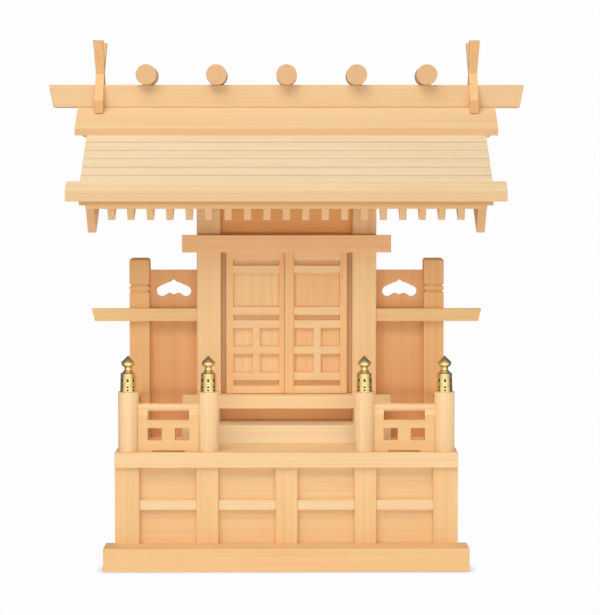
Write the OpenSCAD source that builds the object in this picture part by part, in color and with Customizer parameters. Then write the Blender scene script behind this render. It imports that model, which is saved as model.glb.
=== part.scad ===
// Household altar shrine: a gabled cella with swinging doors and side wings,
// standing on a panelled base with railings.
// Millimetres, +Z up, front towards -Y, origin under the middle of the whole.
// Inside the modules Y is the depth behind the front face of the base bar.

/* [Base box] */
// Height of the box walls below the floor board
box_h = 80.1; // [60:0.1:110]
// Thickness of the side, back and panel boards
box_wall_t = 6; // [4:0.5:9]
// Width of the two corner posts
corner_post_w = 19.6; // [12:0.1:26]
// Width of the three inner posts
inner_post_w = 17.5; // [10:0.1:26]
// How far the panel lies behind the faces of the posts
panel_recess = 5; // [2:0.5:9]
// Height of the lower edge of the middle rail
mid_rail_z = 45.7; // [30:0.1:55]
// Height of the middle rail
mid_rail_h = 8; // [4:0.1:14]
// How far the rail lies behind the faces of the posts
mid_rail_setback = 1; // [0.5:0.1:1.5]
// Height of the bar along the foot of the front
bar_h = 18.5; // [12:0.1:26]
// How far the front bar stands out in front of the posts
bar_d = 18.7; // [12:0.1:26]
// How far the bar runs past the box at each end
bar_reach = 7.7; // [2:0.1:16]

/* [Floor] */
// Thickness of the floor board
floor_t = 12; // [8:0.1:18]
// How far the floor board stands out in front of the posts
floor_lip = 2.7; // [0:0.1:6]
// Width of the floor outside each wing post
side_margin = 5; // [2:0.1:20]
// Depth of the floor behind the rear columns
back_porch = 45; // [20:1:60]

/* [Railing] */
// Radius of a railing post
rail_post_r = 8.2; // [7:0.1:10]
// Height of a railing post without its finial
rail_post_h = 47.8; // [42:0.1:60]
// Distance of the post axes from the front edge of the floor
rail_inset = 9; // [8:0.1:14]
// Distance of the outer post axes from the side edge of the floor
rail_side_inset = 10.6; // [9:0.1:14]
// Distance between the axes of the two inner posts
gate_w = 124.4; // [100:0.1:150]
// Thickness of the railing boards
rail_board_t = 5.5; // [4:0.1:8]
// Distance from a post axis to the nearest opening
rail_stile = 15.6; // [12:0.1:20]
// Width of the strut between the two lower openings
rail_strut_w = 10.5; // [6:0.1:16]
// Height of the board below the lower openings
rail_foot_h = 9; // [5:0.1:10]
// Height of the lower openings
rail_open_h = 9.8; // [6:0.1:10.5]
// Height of the flat rail above the lower openings
rail_band_h = 6.4; // [4:0.1:7.5]
// Rise of the board's ends above the flat rail
rail_ear_h = 3.7; // [1:0.1:4.5]
// Height of the blocks under the ends of a handrail
rail_block_h = 3.3; // [2:0.1:5]
// Width of the shallow relief under a railing board
rail_relief_w = 25.8; // [10:0.1:34]
// Height of that relief
rail_relief_h = 0.8; // [0.3:0.1:2]
// Radius of the round handrail
handrail_r = 3.1; // [2.8:0.1:3.8]

/* [Finials] */
// Height of a finial
finial_h = 29; // [24:0.5:36]
// Radius of the finial's sleeve at its foot
finial_r = 6.5; // [6:0.1:7]
// Radius of the sleeve at its shoulder
shoulder_r = 6.1; // [5.4:0.1:6.4]
// Height of the sleeve up to its shoulder
sleeve_h = 14.4; // [12:0.1:15.5]
// Height of the shoulder between the sleeve and the lip
shoulder_h = 0.9; // [0.6:0.1:1.4]
// Heights of the two ring grooves round the sleeve
ring_groove_z = [5.4, 11.7]; // [3:0.1:12]
// Width of the ring grooves
ring_groove_w = 0.6; // [0.3:0.1:1]
// Depth of the ring grooves
ring_groove_d = 0.35; // [0.1:0.05:0.6]
// Height of the lip above the shoulder
lip_h = 1.2; // [0.8:0.1:1.6]
// Radius of the lip
lip_r = 4.2; // [3.8:0.1:5]
// Radius of the neck
neck_r = 3; // [2:0.1:3.2]
// Radius of the jewel at its widest
jewel_r = 5.5; // [4.8:0.1:6.2]
// Height of the jewel's widest place
jewel_z = 23.1; // [22:0.1:24]
// Height of the jewel's rim above its widest place
rim_h = 0.6; // [0.3:0.1:1]
// Radius of the jewel's round underside
belly_r = 3.2; // [2.6:0.1:3.4]
// Radius of the tenon that carries the finial
tenon_r = 4.4; // [3:0.1:4.8]
// Length of the tenon
tenon_h = 9; // [5:0.5:10]
// Gap all round a tenon in its socket and between a rail end and its post
tenon_clear = 0.05; // [0.02:0.01:0.2]

/* [Cella] */
// Depth of floor in front of the step
porch_d = 48; // [36:1:70]
// Height of the step that carries the cella
step_h = 15.3; // [8:0.1:24]
// How far the step reaches past the columns on each side
step_reach = 10.8; // [4:0.1:20]
// Depth of the step's tread in front of the sill
tread_d = 17; // [8:0.5:30]
// Width between the columns
cella_in_w = 109.6; // [90:0.1:140]
// Width of a column
column_w = 20.2; // [14:0.1:26]
// Depth of a column
column_d = 20; // [18:0.1:26]
// Depth of the side bay between the front and rear columns
bay_d = 19; // [12:0.1:60]
// Cut along each edge of a column
column_chamfer = 1; // [0.3:0.1:2]
// Height of the board below the sill
riser_h = 11.9; // [6:0.1:20]
// Thickness of the cella's wall boards
wall_t = 5; // [3:0.1:7]
// How far the wall boards lie behind the faces of the columns
wall_setback = 8; // [6:0.1:10]
// Height of the sill
sill_h = 10.2; // [9:0.1:18]
// Height of the lintel
lintel_h = 14.2; // [10:0.1:22]
// How far sill and lintel stand out in front of the columns
beam_proud = 11; // [6:0.1:16]
// How far sill and lintel reach in between the columns
beam_tongue = 14; // [13:0.1:16]
// How far sill and lintel run past the columns at each end
beam_reach = 11.6; // [4:0.1:20]
// Height of the doorway
doorway_h = 119.5; // [100:0.5:150]
// Height of the wall above the lintel
upper_wall_h = 45.8; // [20:0.1:60]
// Thickness of the cella's floor
cella_floor_t = 5; // [3:0.1:9]

/* [Doors] */
// Thickness of a door leaf
door_t = 5; // [4:0.1:5.4]
// Thickness of the panel behind the rails
door_panel_t = 2; // [1.2:0.1:2.4]
// Gap above and below a leaf
door_gap = 0.4; // [0.3:0.1:1]
// Gap between the leaves
meeting_gap = 0.3; // [0.2:0.05:0.6]
// Gap between a leaf and the column
door_side_gap = 4.3; // [3:0.1:6]
// How far the leaves lie behind the faces of the columns
door_setback = 6; // [5:0.1:6.4]
// Sideways place of the line where the leaves meet
door_meeting_x = -1.5; // [-4:0.1:4]
// Width of the stiles on the hinge side
door_stile_w = 5.9; // [4:0.1:8]
// Width of the left leaf's meeting stile
left_lap_w = 4.8; // [4:0.1:9]
// Width of the right leaf's meeting stile
right_lap_w = 8; // [7.6:0.1:10]
// Width of the raised strip on the right leaf's meeting stile
strip_w = 6.5; // [4:0.1:7.5]
// How far that strip stands out in front of the leaf
strip_proud = 2; // [0.2:0.1:3]
// Width of the muntin between the small panels
muntin_w = 6; // [3:0.1:9]
// Height of each rail
door_rail_h = 6.6; // [4:0.1:8]
// Height of the slots between paired rails
door_slot_h = 4.6; // [2:0.1:6]
// How much deeper the slots are than the panels
door_slot_d = 0.8; // [0.3:0.1:1]
// Height of the small panels
small_panel_h = 15.3; // [10:0.1:17]
// Radius of the hinge pins
pin_r = 1.5; // [1:0.1:1.8]
// Length of a hinge pin in its socket
pin_h = 6; // [3:0.5:7]
// Running gap all round a hinge pin
pin_clear = 0.05; // [0.02:0.01:0.1]
// Cover of the jamb strip behind the edge of a leaf
jamb_cover = 4; // [2:0.1:8]
// Room between a leaf and the jamb strip
jamb_gap = 1.5; // [1.4:0.1:2.5]
// Thickness of the jamb strip
jamb_t = 4; // [2:0.1:5]

/* [Wings] */
// Width of a wing panel
wing_panel_w = 40.2; // [36:0.1:60]
// Height of a wing panel
wing_panel_h = 141.3; // [135:0.1:170]
// Thickness of a wing panel
wing_panel_t = 4; // [2:0.1:6]
// How far a wing panel lies behind the face of its post
wing_panel_setback = 6; // [1:0.1:9]
// Width and depth of a wing post
wing_post_w = 16.7; // [15:0.1:24]
// Height of a wing post
wing_post_h = 151.2; // [130:0.1:190]
// Rounding of a wing post's head
wing_post_round = 2.5; // [1:0.1:5]
// Depth of the two grooves round a wing post
wing_groove_d = 1.3; // [0.5:0.1:2]
// Distance of the upper groove from the top of the post
wing_groove_drop = 22.4; // [10:0.1:30]
// Distance between the two grooves
wing_groove_pitch = 5.1; // [4:0.1:9]
// Height of a wing rail above the floor
wing_rail_z = 98.9; // [60:0.1:105]
// Height of a wing rail
wing_rail_h = 10.5; // [6:0.1:12]
// Thickness of a wing rail
wing_rail_t = 5; // [3:0.1:8]
// How far a wing rail runs past its post
wing_rail_reach = 31.1; // [10:0.1:45]
// Lean of a wing rail's outer end
wing_rail_slant = 2.6; // [0:0.1:6]
// Width of the cloud-shaped hole in a wing panel
cloud_w = 29; // [24:0.5:32]
// Height of the hole's lobes above the floor
cloud_z = 123.4; // [118:0.1:125]
// Radius of the lobes at the ends of the hole
cloud_lobe_r = 4.4; // [3:0.1:5]
// Height of the hole's peak above the middle of its lobes
cloud_peak_h = 10.2; // [9.6:0.1:12]
// Slope of the hole's shoulders in degrees
cloud_slope = 24.9; // [20:0.1:27]

/* [Roof] */
// Slope of the roof in degrees
roof_pitch = 37.33; // [30:0.01:42]
// Level distance from the ridge to the face of the front eave
eave_run = 91.5; // [85:0.5:110]
// Level distance from the ridge to the face of the rear eave
rear_eave_run = 66; // [60:0.5:110]
// Width of the roof deck
roof_w = 332; // [310:1:380]
// Thickness of the roof deck
deck_t = 6.4; // [4:0.1:9]
// Thickness of the deck outside the bargeboards
deck_edge_t = 4.3; // [2:0.1:6]
// Thickness of the shingle layer and of the eave plank
shingle_t = 7; // [4:0.1:10]
// Level distance from the face of the eave to the first shingle groove
first_course = 16.1; // [14:0.1:20]
// Level distance between shingle grooves
course_pitch = 9.1; // [6:0.1:14]
// Width of the shingle grooves
groove_w = 0.8; // [0.4:0.1:2]
// Depth of the shingle grooves
groove_d = 1; // [0.4:0.1:2]
// Level width of the eave plank
plank_run = 10.2; // [6:0.1:13]
// How far the eave plank runs past the deck at each end
plank_reach = 10.9; // [4:0.1:20]
// How far the deck stops behind the face of the eave
deck_setback = 3; // [1:0.1:6]
// How far the rafter ends stop behind the face of the eave
rafter_setback = 5.5; // [4:0.1:12]
// Depth of the rafters
rafter_d = 14; // [8:0.1:18]
// Width of the rafters
rafter_w = 5.7; // [4:0.1:8]
// Distance between rafters
rafter_pitch = 15.66; // [13:0.01:24]
// Depth of the bargeboards
barge_d = 27; // [18:0.1:32]
// Thickness of the bargeboards
barge_t = 6.8; // [4:0.1:10]
// How far the bargeboards lie inside the deck's side edges
barge_inset = 5; // [1:0.1:9]
// Depth of the purlins
purlin_d = 12; // [8:0.1:14]
// Height of a purlin's outer face
purlin_h = 7.6; // [5:0.1:14]

/* [Ridge] */
// Level distance from the ridge to the edge of a ridge cap board
cap_run = 31.8; // [24:0.1:40]
// Thickness of the ridge cap boards
cap_t = 4.6; // [3:0.1:7]
// How far the ridge caps run past the deck at each end
cap_reach = 10; // [2:0.1:18]
// Gap between the two cap boards under the ridge beam
cap_gap = 4; // [2:0.5:8]
// Height of the ridge beam
ridge_beam_h = 19; // [12:0.1:26]
// Thickness of the ridge beam
ridge_beam_t = 12.6; // [10:0.1:15]
// How far the ridge beam runs past the deck at each end
ridge_beam_reach = 34.5; // [20:0.1:50]
// Lean of the ridge beam's ends
ridge_beam_slant = 3.6; // [0:0.1:8]
// Radius of the log billets on the ridge
billet_r = 8.65; // [6:0.05:11]
// Length of the billets
billet_len = 30; // [20:0.5:40]
// Number of billets
billet_count = 5; // [3:2:5]
// Distance between billets
billet_pitch = 59; // [40:0.1:66]
// Depth of the flat under a billet
billet_flat = 0.4; // [0.1:0.1:1]
// Lean of the crossed finial boards from upright, in degrees
cross_lean = 29; // [27:1:36]
// Width of a crossed board
cross_board_w = 5.2; // [4.6:0.1:8]
// Thickness of a crossed board at the crossing
cross_t = 7.2; // [5:0.1:8]
// Thickness of a crossed board at its tip
cross_tip_t = 8.6; // [6:0.1:11]
// Height of the crossing above the ridge beam
cross_rise = 10; // [9:0.1:13]
// Height of the tips above the crossing
cross_tip_h = 26.7; // [18:0.1:36]
// Level distance from the ridge to a crossed board's foot
cross_foot_run = 16.1; // [14:0.1:20]

/* [Hidden] */
$fn = 64;
eps = 0.01;

// Shares of the cloud-shaped hole
cloud_arc_share = 0.36;
cloud_base_share = 0.67;
cloud_arc_drop = 1.8;
cloud_hollow_share = 0.55;
cloud_hollow_drop = 0.2;

// Colours
wood = "burlywood";
pale_wood = "wheat";
brass = "goldenrod";

// Depths, from the front face of the base bar
box_front = bar_d;
floor_front = box_front - floor_lip;
rail_y = floor_front + rail_inset;
step_front = floor_front + porch_d;
sill_front = step_front + tread_d;
column_front = sill_front + beam_proud;
column_back = column_front + column_d;
rear_column_front = column_back + bay_d;
rear_column_back = rear_column_front + column_d;
ridge_y = (column_front + rear_column_back) / 2;
wall_front = column_front + wall_setback;
beam_back = column_front + beam_tongue;
back_wall_front = 2 * ridge_y - wall_front - wall_t;
door_front = column_front + door_setback;
door_back = door_front + door_t;
panel_front = door_back - door_panel_t;
pin_y = door_front + door_t / 2;
jamb_front = door_back + jamb_gap;
wing_post_front = wall_front;
wing_panel_front = wing_post_front + wing_panel_setback;
wing_rail_front = wing_post_front - wing_rail_t;
box_back = rear_column_back + back_porch;
purlin_front = wall_front + wall_t / 2 - purlin_d / 2;
whole_d = max(ridge_y + rear_eave_run, box_back);

// Half widths
column_in = cella_in_w / 2;
column_out = column_in + column_w;
step_half = column_out + step_reach;
beam_half = column_out + beam_reach;
wing_in = column_out + wing_panel_w;
wing_out = wing_in + wing_post_w;
floor_half = wing_out + side_margin;
bar_half = floor_half + bar_reach;
rail_outer_x = floor_half - rail_side_inset;
rail_inner_x = gate_w / 2;
leaf_out = column_in - door_side_gap;
pin_x = leaf_out - door_t / 2;
deck_half = roof_w / 2;
barge_out = deck_half - barge_inset;
barge_in = barge_out - barge_t;
cross_x = (barge_in + barge_out) / 2;
rafter_side_count = floor((barge_in - rafter_w) / rafter_pitch);

// Heights
floor_top = box_h + floor_t;
step_top = floor_top + step_h;
sill_bottom = step_top + riser_h;
sill_top = sill_bottom + sill_h;
lintel_bottom = sill_top + doorway_h;
lintel_top = lintel_bottom + lintel_h;
column_top = lintel_top + upper_wall_h;
rail_open_z = floor_top + rail_foot_h;
rail_band_z = rail_open_z + rail_open_h;
rail_band_top = rail_band_z + rail_band_h;
rail_ear_top = rail_band_top + rail_ear_h;
handrail_z = rail_ear_top + rail_block_h + handrail_r;
rail_post_top = floor_top + rail_post_h;
wing_rail_bottom = floor_top + wing_rail_z;
roof_stack = (shingle_t + deck_t + rafter_d) / cos(roof_pitch);
apex_z = column_top + purlin_h + roof_stack + tan(roof_pitch) * (ridge_y - purlin_front);
ridge_beam_top = apex_z + ridge_beam_h;
cross_z = ridge_beam_top + cross_rise;

// Doors
leaf_bottom = sill_top + door_gap;
leaf_top = lintel_bottom - door_gap;
leaf_h = leaf_top - leaf_bottom;
big_panel_h = leaf_h - 7 * door_rail_h - 3 * door_slot_h - 2 * small_panel_h;
// Heights of the openings between the rails, from the lowest up
door_openings = [door_slot_h, small_panel_h, small_panel_h, door_slot_h, big_panel_h, door_slot_h];

// Height of the top of the roof at a depth
function roof_z(y) = apex_z - tan(roof_pitch) * abs(y - ridge_y);
// Drop straight down through a layer of the roof
function drop(t) = t / cos(roof_pitch);
// Height of the lower edge of a door opening
function opening_z(i) = leaf_bottom + door_rail_h
    + (i == 0 ? 0 : opening_z(i - 1) - leaf_bottom - door_rail_h + door_openings[i - 1] + door_rail_h);

// Places everything about the middle of the whole
module centred() {
    translate([0, -whole_d / 2, 0]) children();
}

// A box between two corners given as ranges
module block(x, y, z) {
    translate([x[0], y[0], z[0]]) cube([x[1] - x[0], y[1] - y[0], z[1] - z[0]]);
}

// A board centred on the middle plane
module board(half, y, z) {
    block([-half, half], y, z);
}

module both_sides() {
    children();
    mirror([1, 0, 0]) children();
}

// Turns a front-to-back shape over to the rear slope
module rear_side() {
    translate([0, 2 * ridge_y, 0]) mirror([0, 1, 0]) children();
}

// Carries an outline in depth and height along X, centred
module along_x(length) {
    rotate([90, 0, 90]) linear_extrude(length, center = true) children();
}

// Carries an outline in width and height along Y, from a front to a back depth
module along_y(y) {
    translate([0, y[1], 0]) rotate([90, 0, 0]) linear_extrude(y[1] - y[0]) children();
}

// Base box

module base_front_bar() {
    color(wood) centred() board(bar_half, [0, box_front + panel_recess], [0, bar_h]);
}

// Left edges and widths of the five posts
post_bay = (2 * floor_half - 2 * corner_post_w - 3 * inner_post_w) / 4;
function inner_post_x(i) = -floor_half + corner_post_w + post_bay + i * (inner_post_w + post_bay);
function bay_x(i) = -floor_half + corner_post_w + i * (inner_post_w + post_bay);

module base_front_posts() {
    y = [box_front, box_front + panel_recess];
    color(pale_wood) centred() {
        both_sides() block([floor_half - corner_post_w, floor_half], y, [bar_h, box_h]);
        for (i = [0:2]) block([inner_post_x(i), inner_post_x(i) + inner_post_w], y, [bar_h, box_h]);
    }
}

module base_front_rails() {
    y = [box_front + mid_rail_setback, box_front + panel_recess];
    z = [mid_rail_z, mid_rail_z + mid_rail_h];
    color(pale_wood) centred()
        for (i = [0:3]) block([bay_x(i), bay_x(i) + post_bay], y, z);
}

module base_front_panel() {
    y = box_front + panel_recess;
    color(wood) centred() board(floor_half - box_wall_t, [y, y + box_wall_t], [0, box_h]);
}

module base_sides() {
    x = [floor_half - box_wall_t, floor_half];
    color(pale_wood) centred() both_sides() block(x, [box_front + panel_recess, box_back], [0, box_h]);
}

module base_back() {
    color(pale_wood) centred()
        board(floor_half - box_wall_t, [box_back - box_wall_t, box_back], [0, box_h]);
}

module floor_board() {
    color(pale_wood) centred() board(floor_half, [floor_front, box_back], [box_h, floor_top]);
}

// Railing

// Cutter that hollows the ends of boards and handrails to the round of a post
module post_cope() {
    translate([0, 0, floor_top - rail_post_r])
        cylinder(h = rail_post_h + 2 * rail_post_r, r = rail_post_r + tenon_clear);
}

module at_rail_posts() {
    both_sides() {
        translate([rail_inner_x, rail_y, 0]) children();
        translate([rail_outer_x, rail_y, 0]) children();
    }
}

module railing_posts() {
    color(pale_wood) centred() at_rail_posts() {
        translate([0, 0, floor_top]) cylinder(h = rail_post_h, r = rail_post_r);
        translate([0, 0, rail_post_top - eps]) cylinder(h = tenon_h + eps, r = tenon_r);
    }
}

// Half outline of a finial: sleeve with two ring grooves, shoulder, lip, neck, round-bellied pointed jewel
module finial_outline() {
    shoulder_z = sleeve_h + shoulder_h;
    difference() {
        union() {
            polygon([[0, 0], [finial_r, 0], [shoulder_r, sleeve_h], [lip_r, shoulder_z], [0, shoulder_z]]);
            square([neck_r, jewel_z]);
            translate([0, shoulder_z + lip_h / 4]) square([lip_r, lip_h]);
            intersection() {
                translate([jewel_r - belly_r, jewel_z]) circle(r = belly_r);
                square([2 * jewel_r, jewel_z]);
            }
            polygon([[0, jewel_z - eps], [jewel_r, jewel_z - eps], [jewel_r, jewel_z + rim_h],
                [0, finial_h]]);
        }
        for (z = ring_groove_z) {
            face = finial_r - (finial_r - shoulder_r) * z / sleeve_h;
            translate([face - ring_groove_d, z - ring_groove_w / 2]) square([finial_r, ring_groove_w]);
        }
        square([tenon_r + tenon_clear, tenon_h + tenon_clear]);
    }
}

module finials() {
    color(brass) centred() at_rail_posts() translate([0, 0, rail_post_top]) rotate_extrude() finial_outline();
}

// Outline of a railing board of a span, from post axis to post axis or face
module railing_outline(span, near, far) {
    open_w = (span - near - far - rail_strut_w) / 2;
    difference() {
        translate([0, floor_top]) square([span, rail_ear_top - floor_top]);
        translate([near, rail_band_top]) square([span - near - far, rail_ear_h + eps]);
        translate([near, rail_open_z]) square([open_w, rail_open_h]);
        translate([near + open_w + rail_strut_w, rail_open_z]) square([open_w, rail_open_h]);
        translate([near + open_w + (rail_strut_w - rail_relief_w) / 2, floor_top - eps])
            square([rail_relief_w, rail_relief_h + eps]);
    }
}

// Round handrail with a block under each end
module handrail_solid(span, near, far) {
    translate([0, 0, handrail_z]) rotate([0, 90, 0]) cylinder(h = span, r = handrail_r);
    z = [rail_ear_top, handrail_z];
    t = [-rail_board_t / 2, rail_board_t / 2];
    block([0, near], t, z);
    block([span - far, span], t, z);
}

front_span = rail_outer_x - rail_inner_x;
side_span = wing_post_front - rail_y;
side_far = rail_stile - rail_post_r;

// Places a front railing on the right, its span along X from the inner post's axis
module at_front_railing() {
    both_sides() difference() {
        translate([rail_inner_x, rail_y, 0]) children();
        at_rail_posts() post_cope();
    }
}

// Places a side railing on the right, its span running back from the outer post's axis
module at_side_railing() {
    both_sides() difference() {
        translate([rail_outer_x, rail_y, 0]) rotate([0, 0, 90]) children();
        at_rail_posts() post_cope();
    }
}

module front_railings() {
    half = rail_board_t / 2;
    color(wood) centred() at_front_railing()
        along_y([-half, half]) railing_outline(front_span, rail_stile, rail_stile);
}

module side_railings() {
    half = rail_board_t / 2;
    color(wood) centred() at_side_railing()
        along_y([-half, half]) railing_outline(side_span, rail_stile, side_far);
}

module front_handrails() {
    color(pale_wood) centred() at_front_railing() handrail_solid(front_span, rail_stile, rail_stile);
}

module side_handrails() {
    color(pale_wood) centred() at_side_railing() handrail_solid(side_span, rail_stile, side_far);
}

// Cella

module step_block() {
    color(pale_wood) centred() board(step_half, [step_front, rear_column_back], [floor_top, step_top]);
}

// Square column with its edges cut, standing on the step
module column(y) {
    c = column_chamfer;
    w = column_w;
    d = column_d;
    translate([column_in, y, step_top]) linear_extrude(column_top - step_top)
        polygon([[c, 0], [w - c, 0], [w, c], [w, d - c], [w - c, d], [c, d], [0, d - c], [0, c]]);
}

module front_columns() {
    color(pale_wood) centred() both_sides() column(column_front);
}

module rear_columns() {
    color(pale_wood) centred() both_sides() column(rear_column_front);
}

// Bar across the front of the columns, with a tongue between them that holds the door pins
module cross_bar(z, socket_z) {
    difference() {
        union() {
            board(beam_half, [sill_front, column_front], z);
            board(column_in, [column_front - eps, beam_back], z);
        }
        both_sides() translate([pin_x, pin_y, socket_z])
            cylinder(h = pin_h + door_gap + eps, r = pin_r + pin_clear);
    }
}

module sill() {
    color(pale_wood) centred() cross_bar([sill_bottom, sill_top], sill_top - pin_h - door_gap);
}

module lintel() {
    color(wood) centred() cross_bar([lintel_bottom, lintel_top], lintel_bottom - eps);
}

module riser_board() {
    color(wood) centred() board(column_in, [wall_front, wall_front + wall_t], [step_top, sill_bottom]);
}

module cella_floor() {
    z = [sill_bottom, sill_bottom + cella_floor_t];
    color(wood) centred() board(column_in, [beam_back, back_wall_front], z);
}

module door_jambs() {
    x = [leaf_out - jamb_cover, column_in];
    color(wood) centred() both_sides() block(x, [jamb_front, jamb_front + jamb_t], [sill_top, lintel_bottom]);
}

module front_wall() {
    color(wood) centred() board(column_in, [wall_front, wall_front + wall_t], [lintel_top, column_top]);
}

module back_wall() {
    color(pale_wood) centred()
        board(column_in, [back_wall_front, back_wall_front + wall_t], [step_top, column_top]);
}

// Side wall between a front and a rear column, rising to the underside of the rafters
module side_walls() {
    front = column_back;
    back = rear_column_front;
    color(pale_wood) centred() both_sides() translate([(column_in + column_out) / 2, 0, 0])
        along_x(wall_t) polygon([
            [front, step_top], [back, step_top], [back, roof_z(back) - roof_stack],
            [ridge_y, apex_z - roof_stack], [front, roof_z(front) - roof_stack]]);
}

// Purlin on the column heads, its top cut to the slope of the rafters
module purlin() {
    back = purlin_front + purlin_d;
    along_x(2 * barge_in) polygon([
        [purlin_front, column_top], [back, column_top],
        [back, roof_z(back) - roof_stack], [purlin_front, roof_z(purlin_front) - roof_stack]]);
}

module purlins() {
    color(wood) centred() {
        purlin();
        rear_side() purlin();
    }
}

// Doors

// Frame of a leaf between its hinge edge and its meeting edge, drawn on the right
module leaf_frame(meeting, lap_w) {
    inner = meeting + lap_w;
    outer = leaf_out - door_stile_w;
    middle = (inner + outer) / 2;
    block([outer, leaf_out], [door_front, door_back], [leaf_bottom, leaf_top]);
    block([meeting, inner], [door_front, door_back], [leaf_bottom, leaf_top]);
    along_y([door_front, panel_front]) difference() {
        translate([inner - eps, leaf_bottom]) square([outer - inner + 2 * eps, leaf_h]);
        for (i = [0:5])
            translate([inner - 2 * eps, opening_z(i)]) square([outer - inner + 4 * eps, door_openings[i]]);
    }
    block([middle - muntin_w / 2, middle + muntin_w / 2], [door_front, panel_front],
        [opening_z(1) - eps, opening_z(3) - door_rail_h + eps]);
    translate([pin_x, pin_y, leaf_bottom - door_gap - pin_h]) cylinder(h = pin_h + door_gap + eps, r = pin_r);
    translate([pin_x, pin_y, leaf_top - eps]) cylinder(h = pin_h + door_gap + eps, r = pin_r);
}

// Panel of a leaf between its stiles, behind the rails, sunk deeper in the slots
module leaf_panel(meeting, lap_w) {
    inner = meeting + lap_w;
    outer = leaf_out - door_stile_w;
    difference() {
        block([inner, outer], [panel_front, door_back], [leaf_bottom, leaf_top]);
        for (i = [0, 3, 5]) block([inner - eps, outer + eps], [panel_front - eps, panel_front + door_slot_d],
            [opening_z(i), opening_z(i) + door_openings[i]]);
    }
}

right_meeting = door_meeting_x + meeting_gap / 2;
left_meeting = -door_meeting_x + meeting_gap / 2;

module door_right_frame() {
    color(pale_wood) centred() {
        leaf_frame(right_meeting, right_lap_w);
        block([right_meeting, right_meeting + strip_w], [door_front - strip_proud, door_front + eps],
            [leaf_bottom, leaf_top]);
    }
}

module door_right_panel() {
    color(wood) centred() leaf_panel(right_meeting, right_lap_w);
}

module door_left_frame() {
    color(pale_wood) centred() mirror([1, 0, 0]) leaf_frame(left_meeting, left_lap_w);
}

module door_left_panel() {
    color(wood) centred() mirror([1, 0, 0]) leaf_panel(left_meeting, left_lap_w);
}

// Wings

// Outline of a wing post seen from any side: rounded head and two grooves
module wing_post_outline() {
    w = wing_post_w;
    r = wing_post_round;
    g = wing_groove_d;
    top = floor_top + wing_post_h;
    difference() {
        union() {
            translate([-w / 2, floor_top]) square([w, wing_post_h - r]);
            translate([-w / 2 + r, floor_top]) square([w - 2 * r, wing_post_h]);
            for (s = [-1, 1]) translate([s * (w / 2 - r), top - r]) circle(r);
        }
        for (s = [-1, 1]) for (i = [0, 1])
            translate([s * w / 2, top - wing_groove_drop - i * wing_groove_pitch])
                polygon([[-s * g, 0], [s * eps, g + eps], [s * eps, -g - eps]]);
    }
}

module wing_posts() {
    w = wing_post_w;
    color(pale_wood) centred() both_sides() translate([wing_in + w / 2, wing_post_front + w / 2, 0])
        intersection() {
            along_y([-w / 2, w / 2]) wing_post_outline();
            along_x(w) wing_post_outline();
        }
}

// Cloud-shaped hole: round lobes, straight shoulders up to a small peak, two arcs and a cusp below
module cloud_outline() {
    r = cloud_lobe_r;
    lobe = cloud_w / 2 - r;
    shoulder = [r * sin(cloud_slope), r * cos(cloud_slope)];
    crown_h = shoulder[1] + (lobe + shoulder[0]) * tan(cloud_slope);
    arc_r = lobe * cloud_arc_share;
    base = r * cloud_base_share;
    difference() {
        union() {
            for (s = [-1, 1]) translate([s * lobe, 0]) circle(r);
            polygon([[-lobe, -base], [lobe, -base], [lobe + shoulder[0], shoulder[1]], [0, crown_h],
                [-lobe - shoulder[0], shoulder[1]]]);
            polygon([[-arc_r, crown_h - arc_r], [arc_r, crown_h - arc_r], [0, cloud_peak_h]]);
        }
        for (s = [-1, 1]) translate([s * arc_r, -base * cloud_arc_drop]) circle(arc_r);
        for (s = [-1, 1]) translate([s * arc_r, cloud_peak_h - arc_r * cloud_hollow_drop])
            circle(arc_r * cloud_hollow_share);
    }
}

module wing_panels() {
    y = [wing_panel_front, wing_panel_front + wing_panel_t];
    color(wood) centred() both_sides() along_y(y) difference() {
        translate([column_out, floor_top]) square([wing_panel_w, wing_panel_h]);
        translate([column_out - eps, floor_top - eps]) square([step_reach + eps, step_h + eps]);
        translate([column_out + wing_panel_w / 2, floor_top + cloud_z]) cloud_outline();
    }
}

module wing_rails() {
    top = wing_rail_bottom + wing_rail_h;
    tip = wing_out + wing_rail_reach;
    color(pale_wood) centred() both_sides() along_y([wing_rail_front, wing_post_front])
        polygon([[column_out, wing_rail_bottom], [tip - wing_rail_slant, wing_rail_bottom],
            [tip, top], [column_out, top]]);
}

// Roof

// Board of the front slope between two perpendicular depths below the top of the roof
module slope_outline(front, back, from, to) {
    polygon([[front, roof_z(front) - drop(to)], [back, roof_z(back) - drop(to)],
        [back, roof_z(back) - drop(from)], [front, roof_z(front) - drop(from)]]);
}

// Timber under the deck of a slope of a run, its lower end cut square to the slope
module rafter_outline(run, depth) {
    start = ridge_y - run + rafter_setback;
    under = shingle_t + deck_t;
    top = roof_z(start) - drop(under);
    polygon([[start, top],
        [start + depth * sin(roof_pitch), top - depth * cos(roof_pitch)],
        [ridge_y, apex_z - drop(under + depth)], [ridge_y, apex_z - drop(under)]]);
}

module rafter_row(run) {
    for (i = [-rafter_side_count:rafter_side_count])
        translate([i * rafter_pitch, 0, 0]) along_x(rafter_w) rafter_outline(run, rafter_d);
}

module rafters_front() {
    color(pale_wood) centred() rafter_row(eave_run);
}

module rafters_rear() {
    color(pale_wood) centred() rear_side() rafter_row(rear_eave_run);
}

module barge_pair(run) {
    both_sides() translate([cross_x, 0, 0]) along_x(barge_t) rafter_outline(run, barge_d);
}

module bargeboards_front() {
    color(wood) centred() barge_pair(eave_run);
}

module bargeboards_rear() {
    color(wood) centred() rear_side() barge_pair(rear_eave_run);
}

// Deck of a slope, thinner outside the bargeboards
module deck(run) {
    front = ridge_y - run + deck_setback;
    step = shingle_t + deck_edge_t;
    along_x(roof_w) slope_outline(front, ridge_y, shingle_t, step);
    along_x(2 * barge_out) slope_outline(front, ridge_y, step - eps, shingle_t + deck_t);
}

module roof_deck_front() {
    color(wood) centred() deck(eave_run);
}

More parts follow.
